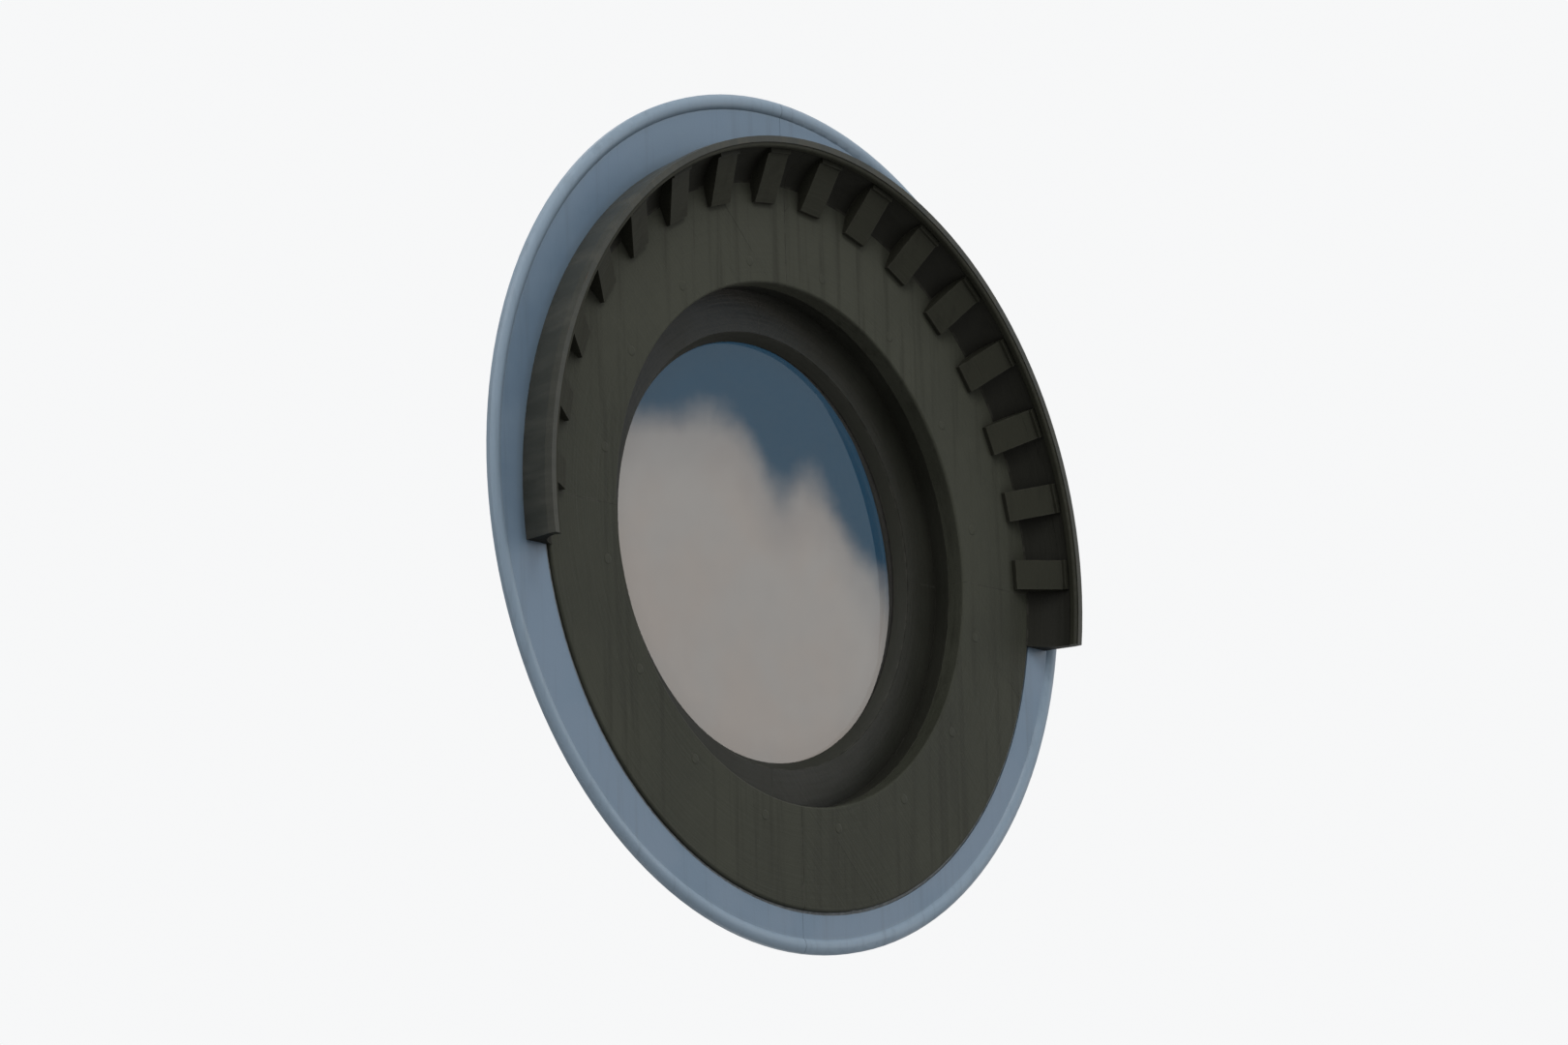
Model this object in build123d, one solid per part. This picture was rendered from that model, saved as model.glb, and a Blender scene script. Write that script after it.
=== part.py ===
from build123d import *
from math import asin, degrees, hypot
import os

# Round attic window: a fixed round sash in a round jamb, a flat casing ring outside it,
# a half-round dentilled hood over the upper half, and the round trim that meets the siding.
# Millimetres. The axis of the window is Y. The front faces -Y, +Z is up, and y = 0 is the
# face of the wall that the casing bears on. Sections are drawn with x as the radius and
# y as the depth, and are turned about the Y axis. Clock angles run from 12 o'clock towards +X.

# Fits
seat_gap = 0.2            # between faces that bear on each other
butt_gap = 0.5            # between the ends of neighbouring lengths
slot_gap = 0.15           # around tongues, points and screws in their slots and holes

# Casing, four flat quarter boards
opening_radius = 297.0
casing_width = 118.0
casing_thickness = 22.0
casing_round = 3.0        # eased front arrises
casing_relief_depth = 3.0
casing_relief_margin = 24.0
tongue_length = 50.0
tongue_width = 38.0
tongue_thickness = 5.0

# Jamb, a built-up ring through the wall
jamb_thickness = 22.0
jamb_depth = 116.0
jamb_joint_angle = 45.0   # its joints lie between those of the casing
jamb_tongue_length = 44.0
jamb_tongue_width = 60.0
jamb_tongue_thickness = 6.0

# Outer and inner stops
stop_width = 13.8         # radial
outer_stop_depth = 20.0
inner_stop_depth = 15.0
inner_stop_round = 7.0

# Sash
sash_clearance = 3.0      # between the sash and the jamb
sash_thickness = 36.0
sash_face_width = 58.0    # visible between the casing and the glass
rebate_width = 10.0
glass_setback = 13.8      # from the sash's front face to the glass
glass_thickness = 3.0
glass_edge_gap = 2.0
bedding_gap = 0.3
sash_sticking = 10.0      # ovolo on the room side
sash_quirk = 1.0          # small step at each side of the ovolo
sash_ovolo_rise = 2.2
sash_tongue_length = 50.0
sash_tongue_width = 28.0
sash_tongue_thickness = 6.0

# Glazing
point_count = 8
point_length = 12.0
point_width = 9.0
point_thickness = 0.8
point_grip = 5.0          # how deep a point is driven into the sash
putty_set_in = 0.4        # its front edge lies this far inside the sash's face
putty_toe = 0.6           # thickness of its feather edge on the glass
putty_hollow = 0.5
block_length = 40.0       # setting blocks under the pane
block_angle = 25.0        # either side of 6 o'clock

# Stop screws
stop_screw_count = 8
screw_radius = 2.0
screw_head_radius = 4.0
screw_head_height = 2.4
screw_length = 30.0

# Siding trim, two half rings of solid board set a little high and to the left
trim_beyond_hood = 39.0   # radial, from the hood's foot to the trim's edge, before the shift
trim_shift_x = -14.0
trim_shift_z = 23.0
trim_set_below = 3.0      # its face lies this far behind the casing's face
trim_edge_gap = 3.5       # sealed joint round the casing
trim_lip_width = 17.0     # rolled outer edge
trim_lip_rise = 4.0
trim_rebate_width = 20.0  # room for the ends of the siding
trim_tongue_thickness = 5.0   # what is left in front of them
sealant_set_in = 1.5
sealant_depth = 9.0
sealant_hollow = 0.6

# Hood
hood_foot_lap = 27.0      # the dentils' feet stand this far inside the casing's outer edge
hood_backing_lap = 4.0    # and the cove behind them this far
hood_foot_width = 37.0    # radial, at the wall
hood_flare = 35.0         # radial, from the cove's start to the mouth
hood_edge_width = 9.0     # radial, at the mouth
hood_cove_rise = 7.0      # hollow of the cove, from its chord
hood_front_depth = 48.0   # from the trim's face to the hood's front
hood_drop = 60.0          # how far the level ends lie below the centre
cap_thickness = 9.0
cap_overhang = 2.0
cap_round = 2.5
dentil_count = 16
dentil_pitch_angle = 11.6
dentil_width = 34.0
dentil_foot = 5.0         # upright part of a dentil's inner end
dentil_nose = 4.0         # height of its end under the cap
dentil_stop = 5.0         # how far short of the cap's edge it ends
flashing_thickness = 0.8
flashing_lip = 6.0        # how far it turns down over the cap's front

# Casing screws, under filled heads
casing_screw_count = 16
casing_screw_radius = 2.2
casing_screw_length = 60.0
casing_screw_sink = 6.0

# Worked out from the sizes above
casing_outer_radius = opening_radius + casing_width
casing_face = -casing_thickness
jamb_inner_radius = opening_radius + stop_width + seat_gap
jamb_outer_radius = jamb_inner_radius + jamb_thickness
sash_face = seat_gap + outer_stop_depth + seat_gap
sash_back = sash_face + sash_thickness
sash_outer_radius = jamb_inner_radius - sash_clearance
sight_radius = opening_radius - sash_face_width
rebate_radius = sight_radius + rebate_width
glass_face = sash_face + glass_setback
glass_back = glass_face + glass_thickness
rebate_seat = glass_back + bedding_gap
glass_radius = rebate_radius - glass_edge_gap
inner_stop_front = sash_back + seat_gap
trim_face = casing_face + trim_set_below
trim_bore_radius = casing_outer_radius + trim_edge_gap
hood_foot_radius = casing_outer_radius - hood_foot_lap
hood_backing_radius = casing_outer_radius - hood_backing_lap
hood_back_radius = hood_backing_radius + hood_foot_width
hood_mouth_radius = hood_backing_radius + hood_flare
hood_front_radius = hood_mouth_radius + hood_edge_width
hood_front = trim_face - hood_front_depth
cap_back = hood_front + cap_thickness
trim_radius = hood_back_radius + trim_beyond_hood
quarter = 90
whole = 4 * trim_radius   # longer than anything here


def section(*corners):
    """A closed flat outline of straight runs, x as radius and y as depth."""
    return make_face(Polyline(*corners, close=True))


def bowed(start, end, rise):
    """An arc from one point to another that bows to the left of the way between them."""
    run = end[0] - start[0]
    fall = end[1] - start[1]
    length = hypot(run, fall)
    middle = ((start[0] + end[0]) / 2 - fall / length * rise, (start[1] + end[1]) / 2 + run / length * rise)
    return ThreePointArc(start, middle, end)


def turned(face, start=0.0, sweep=360.0):
    """Turns a section about the window's axis from one clock angle through another."""
    ring = revolve(face, axis=Axis.Y, revolution_arc=sweep)
    return ring.rotate(Axis.Y, start - 90)


def at_clock(shape, angle):
    """Moves a shape made at 3 o'clock to a clock angle."""
    return shape.rotate(Axis.Y, angle - 90)


def block(x_from, x_to, y_from, y_to, z_half):
    """A box between two radii and two depths at 3 o'clock, centred on the level."""
    box = Box(x_to - x_from, y_to - y_from, 2 * z_half)
    return box.moved(Location(((x_from + x_to) / 2, (y_from + y_to) / 2, 0)))


def length_of_ring(face, start, sweep, mean_radius):
    """One length of a jointed ring, short by half the joint gap at each end."""
    half_gap = degrees(butt_gap / 2 / mean_radius)
    return turned(face, start + half_gap, sweep - 2 * half_gap)


def radial_hole(radius, r_from, r_to, y, angle):
    """A round bore along a radius of the window."""
    bore = Cylinder(radius, r_to - r_from, rotation=(0, 90, 0))
    return at_clock(bore.moved(Location(((r_from + r_to) / 2, y, 0))), angle)


def axial_rod(radius, y_from, y_to, r, angle):
    """A round bar along the window's axis, standing at a radius."""
    rod = Cylinder(radius, y_to - y_from, rotation=(90, 0, 0))
    return at_clock(rod.moved(Location((r, (y_from + y_to) / 2, 0))), angle)


def tongue(r_middle, width, y_from, y_to, length, angle, grow=0.0):
    """A loose flat tongue across the joint at a clock angle."""
    piece = block(r_middle - width / 2 - grow, r_middle + width / 2 + grow,
                  y_from - grow, y_to + grow, length / 2 + grow)
    return at_clock(piece, angle)


# Casing

casing_middle = opening_radius + casing_width / 2
casing_tongue_back = casing_face / 2 + tongue_thickness / 2
casing_tongue_front = casing_face / 2 - tongue_thickness / 2


def casing_section():
    """Flat board with eased front edges and a shallow relief ploughed in its back."""
    r0 = opening_radius
    r1 = casing_outer_radius
    m = casing_relief_margin
    board = section((r0, 0), (r0, casing_face), (r1, casing_face), (r1, 0),
                    (r1 - m, 0), (r1 - m - casing_relief_depth, -casing_relief_depth),
                    (r0 + m + casing_relief_depth, -casing_relief_depth), (r0 + m, 0))
    front = board.vertices().group_by(Axis.Y)[0]
    return fillet(front, casing_round)


def casing_tongue(angle, grow=0.0):
    return tongue(casing_middle, tongue_width, casing_tongue_front, casing_tongue_back,
                  tongue_length, angle, grow)


def spread(count):
    """Clock angles of evenly spaced pieces, none of them at 12 o'clock."""
    return [360 / count * (i + 0.5) for i in range(count)]


def within(angles, start, sweep):
    """Those of the angles that lie on one length of a ring."""
    return [angle for angle in angles if 0 < (angle - start) % 360 < sweep]


def casing_screw(angle, grow=0.0):
    """A sunk screw from inside the casing into the end of the jamb. Filler covers its head."""
    r = jamb_inner_radius + jamb_thickness / 2
    head_y = casing_face + casing_screw_sink
    shank = axial_rod(casing_screw_radius + grow, head_y, head_y + casing_screw_length + grow, r, angle)
    head = axial_rod(2 * casing_screw_radius + grow, head_y - grow, head_y + casing_screw_radius + grow,
                     r, angle)
    return shank + head


def casing_quarter(start):
    board = length_of_ring(casing_section(), start, quarter, casing_middle)
    for angle in (start, start + quarter):
        board -= casing_tongue(angle, slot_gap)
    for angle in within(spread(casing_screw_count), start, quarter):
        board -= casing_screw(angle, slot_gap)
    return board


# Jamb and stops

jamb_middle = (jamb_inner_radius + jamb_outer_radius) / 2
inner_stop_middle = inner_stop_front + inner_stop_depth / 2
screw_head_seat = opening_radius + screw_head_height


def stop_screw(angle, grow=0.0):
    """A flat-headed screw through the inner stop into the jamb, along a radius."""
    shank = radial_hole(screw_radius + grow, opening_radius + grow, opening_radius + screw_length + grow,
                        inner_stop_middle, angle)
    head = radial_hole(screw_head_radius + grow, opening_radius - grow, screw_head_seat + grow,
                       inner_stop_middle, angle)
    return shank + head


def jamb_tongue(angle, grow=0.0):
    half = jamb_tongue_thickness / 2 + grow
    y_from = (jamb_depth - jamb_tongue_width) / 2 - grow
    y_to = (jamb_depth + jamb_tongue_width) / 2 + grow
    piece = block(jamb_middle - half, jamb_middle + half, y_from, y_to, jamb_tongue_length / 2 + grow)
    return at_clock(piece, angle)


def jamb_quarter(start):
    face = section((jamb_inner_radius, 0), (jamb_outer_radius, 0),
                   (jamb_outer_radius, jamb_depth), (jamb_inner_radius, jamb_depth))
    piece = length_of_ring(face, start, quarter, jamb_middle)
    for angle in (start, start + quarter):
        piece -= jamb_tongue(angle, slot_gap)
    for angle in within(spread(stop_screw_count), start, quarter):
        piece -= stop_screw(angle, slot_gap)
    for angle in within(spread(casing_screw_count), start, quarter):
        piece -= casing_screw(angle, slot_gap)
    return piece


def outer_stop_half(start):
    r1 = opening_radius + stop_width
    face = section((opening_radius, seat_gap), (r1, seat_gap),
                   (r1, seat_gap + outer_stop_depth), (opening_radius, seat_gap + outer_stop_depth))
    return length_of_ring(face, start, 2 * quarter, opening_radius)


def inner_stop_half(start):
    """Bent strip with an ovolo on its room-side edge."""
    r1 = opening_radius + stop_width
    back = inner_stop_front + inner_stop_depth
    face = section((opening_radius, inner_stop_front), (r1, inner_stop_front), (r1, back), (opening_radius, back))
    corner = face.vertices().sort_by_distance((opening_radius, back, 0))[0]
    piece = length_of_ring(fillet([corner], inner_stop_round), start, 2 * quarter, opening_radius)
    for angle in within(spread(stop_screw_count), start, 2 * quarter):
        piece -= stop_screw(angle, slot_gap)
    return piece


# Sash

sash_tongue_middle = (rebate_radius + sash_outer_radius) / 2
sash_tongue_y = (sash_face + sash_back) / 2


def sash_section():
    """Rebated outside for glass and putty, with an ovolo sticking on the room side."""
    q = sash_quirk
    ovolo_start = (sight_radius + q, sash_back - sash_sticking - q)
    ovolo_end = (sight_radius + q + sash_sticking, sash_back - q)
    line = Polyline((ovolo_end[0], sash_back), (sash_outer_radius, sash_back), (sash_outer_radius, sash_face),
                    (rebate_radius, sash_face), (rebate_radius, rebate_seat), (sight_radius, rebate_seat),
                    (sight_radius, ovolo_start[1]), ovolo_start)
    return make_face([line, bowed(ovolo_start, ovolo_end, sash_ovolo_rise), Line(ovolo_end, (ovolo_end[0], sash_back))])


def sash_tongue(angle, grow=0.0):
    half = sash_tongue_thickness / 2
    return tongue(sash_tongue_middle, sash_tongue_width, sash_tongue_y - half, sash_tongue_y + half,
                  sash_tongue_length, angle, grow)


def glazing_point(angle, grow=0.0):
    """A flat metal point, half driven into the rebate and lying on the glass."""
    r1 = rebate_radius + point_grip
    y1 = glass_face - seat_gap
    plate = block(r1 - point_length - grow, r1 + grow, y1 - point_thickness - grow, y1 + grow,
                  point_width / 2 + grow)
    return at_clock(plate, angle)


def sash_quarter(start):
    piece = length_of_ring(sash_section(), start, quarter, sash_tongue_middle)
    for angle in (start, start + quarter):
        piece -= sash_tongue(angle, slot_gap)
    for angle in within(spread(point_count), start, quarter):
        piece -= glazing_point(angle, slot_gap)
    return piece


def glass_pane():
    return turned(section((0, glass_face), (glass_radius, glass_face), (glass_radius, glass_back), (0, glass_back)))


def putty_bead():
    """A faced-off bead that slopes from the sash's face down to the glass."""
    r1 = rebate_radius - seat_gap
    y1 = glass_face - seat_gap
    heel = (r1, sash_face + putty_set_in)
    toe = (sight_radius + putty_toe, y1 - putty_toe)
    rest = Polyline(toe, (toe[0], y1), (r1, y1), heel)
    bead = turned(make_face([bowed(heel, toe, putty_hollow), rest]))
    for angle in spread(point_count):
        bead -= glazing_point(angle, slot_gap)
    return bead


def setting_block(side):
    """A thin block in the rebate under the edge of the pane."""
    sweep = degrees(block_length / rebate_radius)
    face = section((glass_radius + slot_gap, glass_face), (rebate_radius - slot_gap, glass_face),
                   (rebate_radius - slot_gap, glass_back), (glass_radius + slot_gap, glass_back))
    return turned(face, 2 * quarter + side * block_angle - sweep / 2, sweep)


# Trim and sealant

def disc(radius, y_from, y_to):
    """A solid disc about the window's axis."""
    return turned(section((0, y_from), (radius, y_from), (radius, y_to), (0, y_to)))


def trim_ring():
    """Round board with a rolled outer edge, rebated behind it, and bored to go round the casing."""
    lip_start = (trim_radius - trim_lip_width, trim_face)
    lip_end = (trim_radius, trim_face)
    rebate_radius_outside = trim_radius - trim_rebate_width
    tongue_back = trim_face + trim_tongue_thickness
    rest = Polyline(lip_end, (trim_radius, tongue_back), (rebate_radius_outside, tongue_back),
                    (rebate_radius_outside, 0), (0, 0), (0, trim_face), lip_start)
    board = turned(make_face([bowed(lip_start, lip_end, -trim_lip_rise), rest]))
    board = board.moved(Location((trim_shift_x, 0, trim_shift_z)))
    return board - disc(trim_bore_radius, trim_face - trim_lip_rise, 0)


def half_space(side):
    """Everything on one side of the window's upright centre line."""
    return Box(whole, whole, whole).moved(Location((side * (whole + butt_gap) / 2, 0, 0)))


def sealant():
    """A bead between the casing and the trim, tooled hollow."""
    r0 = casing_outer_radius + seat_gap
    r1 = trim_bore_radius - seat_gap
    front = trim_face + sealant_set_in
    bed = Polyline((r1, front), (r1, front + sealant_depth), (r0, front + sealant_depth), (r0, front))
    return turned(make_face([bed, bowed((r0, front), (r1, front), sealant_hollow)]))


# Hood

hood_base = casing_face - seat_gap
over_trim = trim_face - seat_gap
ring_front = cap_back + seat_gap
step_radius = casing_outer_radius + trim_edge_gap / 2
hood_end_angle = quarter + 1.25 * degrees(asin(hood_drop / hood_foot_radius))   # cut back to the level ends


def cove(inset=0.0):
    """The hollow inner side of the hood behind the dentils, from the casing out to the cap."""
    return bowed((hood_backing_radius - inset, hood_base), (hood_mouth_radius - inset, ring_front), hood_cove_rise)


def hood_section():
    """Curved board with a coved inner side, a flaring outer side and a step over the trim."""
    rest = Polyline(cove() @ 1, (hood_front_radius, ring_front), (hood_back_radius, over_trim),
                    (step_radius, over_trim), (step_radius, hood_base), cove() @ 0)
    return make_face([cove(), rest])


def cap_section():
    """Front board of the hood, its inner edge standing past the mouth."""
    r0 = hood_mouth_radius - cap_overhang
    board = section((r0, hood_front), (r0, cap_back), (hood_front_radius, cap_back), (hood_front_radius, hood_front))
    return fillet(board.vertices().group_by(Axis.X)[0], cap_round)


def flashing_section():
    """Bent sheet over the outside of the hood, turned down over the front of the cap."""
    outer = hood_front_radius + seat_gap
    back = hood_back_radius + seat_gap
    front = hood_front - seat_gap
    lip = hood_front_radius - flashing_lip
    t = flashing_thickness
    return section((back, over_trim), (outer, ring_front), (outer, front), (lip, front), (lip, front - t),
                   (outer + t, front - t), (outer + t, ring_front), (back + t, over_trim))


def above_ends():
    """Everything above the level cut at the hood's two ends."""
    return Box(whole, whole, whole).moved(Location((0, 0, whole / 2 - hood_drop)))


def hood_length(face, side):
    """The left or right length of one ring of the hood, cut level at its lower end."""
    half_gap = degrees(butt_gap / 2 / hood_mouth_radius)
    start = half_gap if side > 0 else -hood_end_angle
    return turned(face, start, hood_end_angle - half_gap) & above_ends()


def hood_flashing():
    return turned(flashing_section(), -hood_end_angle, 2 * hood_end_angle) & above_ends()


def dentil_blank():
    """Flat-faced block at 3 o'clock, its back scribed to the cove.

    It stands on the casing with an upright foot, slopes outwards and ends in a nose under the cap.
    """
    front = ring_front + seat_gap
    nose_radius = hood_mouth_radius - cap_overhang - dentil_stop
    profile = section((hood_foot_radius, hood_base), (hood_foot_radius, hood_base - dentil_foot),
                      (nose_radius, front + dentil_nose), (nose_radius, front),
                      (hood_front_radius, front), (hood_front_radius, hood_base))
    back = cove(seat_gap)
    inside = make_face([back, Polyline(back @ 1, (0, ring_front), (0, hood_base), back @ 0)])
    sweep = 2 * degrees(dentil_width / hood_foot_radius)
    return extrude(profile, dentil_width / 2, both=True) & turned(inside, quarter - sweep / 2, sweep)


def dentil_angles():
    first = -dentil_pitch_angle * (dentil_count - 1) / 2
    return [first + dentil_pitch_angle * i for i in range(dentil_count)]


def write(name, shape):
    """Writes one node, a single solid or a group of like solids."""
    solids = shape.solids() if not isinstance(shape, list) else [s for item in shape for s in item.solids()]
    node = solids[0] if len(solids) == 1 else Compound(children=solids)
    node.label = name
    export_step(node, "parts/" + name + ".step")


def build():
    os.makedirs("parts", exist_ok=True)
    quarters = [(name, quarter * i) for i, name in
                enumerate(("top_right", "bottom_right", "bottom_left", "top_left"))]
    for name, start in quarters:
        write("casing_" + name, casing_quarter(start))
        write("sash_rim_" + name, sash_quarter(start))
    write("casing_tongues", [casing_tongue(start) for name, start in quarters])
    write("sash_tongues", [sash_tongue(start) for name, start in quarters])

    jamb_places = [(name, jamb_joint_angle + quarter * i) for i, name in
                   enumerate(("right", "bottom", "left", "top"))]
    for name, start in jamb_places:
        write("jamb_" + name, jamb_quarter(start))
    write("jamb_tongues", [jamb_tongue(start) for name, start in jamb_places])

    for name, start in (("right", 0), ("left", 2 * quarter)):
        write("outer_stop_" + name, outer_stop_half(start))
        write("inner_stop_" + name, inner_stop_half(start))
    write("stop_screws", [stop_screw(angle) for angle in spread(stop_screw_count)])
    write("casing_screws", [casing_screw(angle) for angle in spread(casing_screw_count)])

    write("glass_pane", glass_pane())
    write("putty_bead", putty_bead())
    write("glazing_points", [glazing_point(angle) for angle in spread(point_count)])
    write("setting_blocks", [setting_block(side) for side in (-1, 1)])

    ring = trim_ring()
    write("trim_right", ring & half_space(1))
    write("trim_left", ring & half_space(-1))
    write("sealant_bead", sealant())

    for name, side in (("right", 1), ("left", -1)):
        write("hood_ring_" + name, hood_length(hood_section(), side))
        write("hood_cap_" + name, hood_length(cap_section(), side))
    write("hood_flashing", hood_flashing())
    blank = dentil_blank()
    for number, angle in enumerate(dentil_angles(), 1):
        write("dentil_%02d" % number, at_clock(blank, angle))


build()
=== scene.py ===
import math
import bmesh
import bpy
from mathutils import Matrix, Vector


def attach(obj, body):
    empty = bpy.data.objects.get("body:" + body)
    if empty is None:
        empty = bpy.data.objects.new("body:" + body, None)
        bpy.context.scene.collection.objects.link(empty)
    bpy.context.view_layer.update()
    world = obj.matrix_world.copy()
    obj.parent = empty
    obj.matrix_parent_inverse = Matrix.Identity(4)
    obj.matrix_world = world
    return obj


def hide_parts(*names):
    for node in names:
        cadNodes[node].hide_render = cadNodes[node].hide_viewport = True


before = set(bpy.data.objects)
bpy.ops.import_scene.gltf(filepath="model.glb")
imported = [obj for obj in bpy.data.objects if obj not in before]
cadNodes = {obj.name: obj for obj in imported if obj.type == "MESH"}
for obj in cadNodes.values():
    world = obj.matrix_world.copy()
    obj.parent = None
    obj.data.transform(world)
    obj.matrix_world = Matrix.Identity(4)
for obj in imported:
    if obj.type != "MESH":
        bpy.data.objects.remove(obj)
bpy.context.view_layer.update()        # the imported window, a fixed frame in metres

scene = bpy.context.scene
print("frame loaded,", len(cadNodes), "nodes")

# The window's axis is Y and it faces -Y. Clock angles run from 12 o'clock towards +X.
ring = {
    "paneFace": 0.0342,
    "trimCentre": (-0.014, 0.0, 0.023),
    "meanRadius": 0.36,      # turns a clock angle into a length along the boards
}


# Helpers for node trees

def feed(tree, socket, value):
    if isinstance(value, bpy.types.NodeSocket):
        tree.links.new(value, socket)
    elif socket.type == "RGBA" and len(value) == 3:
        socket.default_value = (*value, 1)
    else:
        socket.default_value = value


def addNode(tree, kind, settings=None, **inputs):
    made = tree.nodes.new("ShaderNode" + kind)
    for key, value in (settings or {}).items():
        setattr(made, key, value)
    for key, value in inputs.items():
        feed(tree, made.inputs[key.replace("_", " ")], value)
    return made


def calc(tree, operation, a, b=0.0):
    made = addNode(tree, "Math", {"operation": operation})
    feed(tree, made.inputs[0], a)
    feed(tree, made.inputs[1], b)
    return made.outputs[0]


def mixColour(tree, factor, a, b):
    made = addNode(tree, "Mix", {"data_type": "RGBA"})
    feed(tree, made.inputs[0], factor)
    feed(tree, made.inputs[6], a)            # 6, 7 and output 2 are the colour sockets
    feed(tree, made.inputs[7], b)
    return made.outputs[2]


def span(tree, value, low, high, toLow=0.0, toHigh=1.0):
    made = addNode(tree, "MapRange", {"interpolation_type": "SMOOTHSTEP"}, Value=value,
                   From_Min=low, From_Max=high, To_Min=toLow, To_Max=toHigh)
    return made.outputs[0]


# Each noise in a look is (scale, detail, roughness, distortion), and the last can be left out.
def cloud(tree, vector, scale, detail, roughness, distortion=0.0):
    made = addNode(tree, "TexNoise", Vector=vector, Scale=scale, Detail=detail,
                   Roughness=roughness, Distortion=distortion)
    return made.outputs["Fac"]


# Gives patches of a noise: 0 below its range, 1 above it.
def patches(tree, vector, look):
    return span(tree, cloud(tree, vector, *look["noise"]), *look["range"])


def vectorOf(tree, x, y, z):
    made = addNode(tree, "CombineXYZ")
    for socket, value in zip(made.inputs, (x, y, z)):
        feed(tree, socket, value)
    return made.outputs[0]


def startMaterial(name, **values):
    material = bpy.data.materials.new(name)
    material.use_nodes = True
    tree = material.node_tree
    shader = tree.nodes["Principled BSDF"]
    for key, value in values.items():
        feed(tree, shader.inputs[key.replace("_", " ")], value)
    return material, tree, shader


def finishMaterial(tree, shader, colour, roughness, height, strength, reach):
    feed(tree, shader.inputs["Base Color"], colour)
    feed(tree, shader.inputs["Roughness"], roughness)
    relief = addNode(tree, "Bump", Height=height, Strength=strength, Distance=reach)
    tree.links.new(relief.outputs[0], shader.inputs["Normal"])


def mixShader(tree, share, first, second):
    made = addNode(tree, "MixShader", Fac=share)
    tree.links.new(first, made.inputs[1])
    tree.links.new(second, made.inputs[2])
    return made.outputs[0]


def showShader(tree, surface):
    tree.links.new(surface, tree.nodes["Material Output"].inputs["Surface"])


def times(tree, a, b):
    return calc(tree, "MULTIPLY", a, b)


def plus(tree, a, b):
    return calc(tree, "ADD", a, b)


def minus(tree, a, b):
    return calc(tree, "SUBTRACT", a, b)


def lengthOf(tree, vector):
    return addNode(tree, "VectorMath", {"operation": "LENGTH"}, Vector=vector).outputs["Value"]


# Lays coats of colour over one another. Each is (where it is, its share, its colour).
def layered(tree, colour, *coats):
    for amount, share, coat in coats:
        colour = mixColour(tree, times(tree, amount, share), colour, coat)
    return colour


# Gives the whole node: its first output is a vector, and its output Value a number.
def vectorMath(tree, operation, a, b):
    made = addNode(tree, "VectorMath", {"operation": operation})
    feed(tree, made.inputs[0], a)
    feed(tree, made.inputs[1], b)
    return made


# Gives a roughness that follows a value, between two bounds about its middle.
def roughBy(tree, value, middle, look):
    low, high = look["roughSpread"]
    return span(tree, value, *look["roughRange"], middle + low, middle + high)


# Gives the place on the object, its clock angle, the length along the boards, radius, depth and height.
def ringPlaces(tree, centre=(0.0, 0.0, 0.0)):
    spot = addNode(tree, "TexCoord").outputs["Object"]
    moved = vectorMath(tree, "SUBTRACT", spot, centre).outputs[0]
    x, depth, height = addNode(tree, "SeparateXYZ", Vector=moved).outputs
    angle = calc(tree, "ARCTAN2", x, height)
    return {"spot": spot, "angle": angle, "along": times(tree, angle, ring["meanRadius"]),
            "radius": lengthOf(tree, vectorOf(tree, x, 0.0, height)), "depth": depth, "height": height}


# Gives the place along, out from and into the ring, each stretched by its own scale.
def ringVector(tree, place, along, radius, depth):
    return vectorOf(tree, times(tree, place["along"], along), times(tree, place["radius"], radius),
                    times(tree, place["depth"], depth))


# Gives 1 in thin upright streaks, as rain leaves them.
def rainRuns(tree, spot, look):
    stretched = addNode(tree, "Mapping", Vector=spot, Scale=look["stretch"]).outputs[0]
    return patches(tree, stretched, look)


edges = {"cornerSamples": 8, "arrisSamples": 4, "arrisRange": (0.995, 0.90)}


# Gives 0 in the open, and up to 1 deep in a corner. Where it darkens a colour, that is painted shade as
# well as dirt.
def corners(tree, reach):
    samples = {"samples": edges["cornerSamples"]}
    openness = addNode(tree, "AmbientOcclusion", samples, Distance=reach).outputs["AO"]
    return minus(tree, 1.0, openness)


# Gives 0 on the flat, and up to 1 where two faces meet at an edge.
def arrises(tree, radius):
    rounded = addNode(tree, "Bevel", {"samples": edges["arrisSamples"]}, Radius=radius).outputs[0]
    true = addNode(tree, "NewGeometry").outputs["Normal"]
    alike = vectorMath(tree, "DOT_PRODUCT", rounded, true).outputs["Value"]
    return span(tree, alike, *edges["arrisRange"])


# Paint on wood. One function serves the casing, hood, sash, stops and putty.
# strokeRun and grainRun are scales along the grain, grainFine is one across it, and runs are the rain's.
# coatPast is (depth, radius, coat, its shade): past both, a piece has that other coat.
# pluggedScrews is (number, radius of their circle), for the filled heads.

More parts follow.
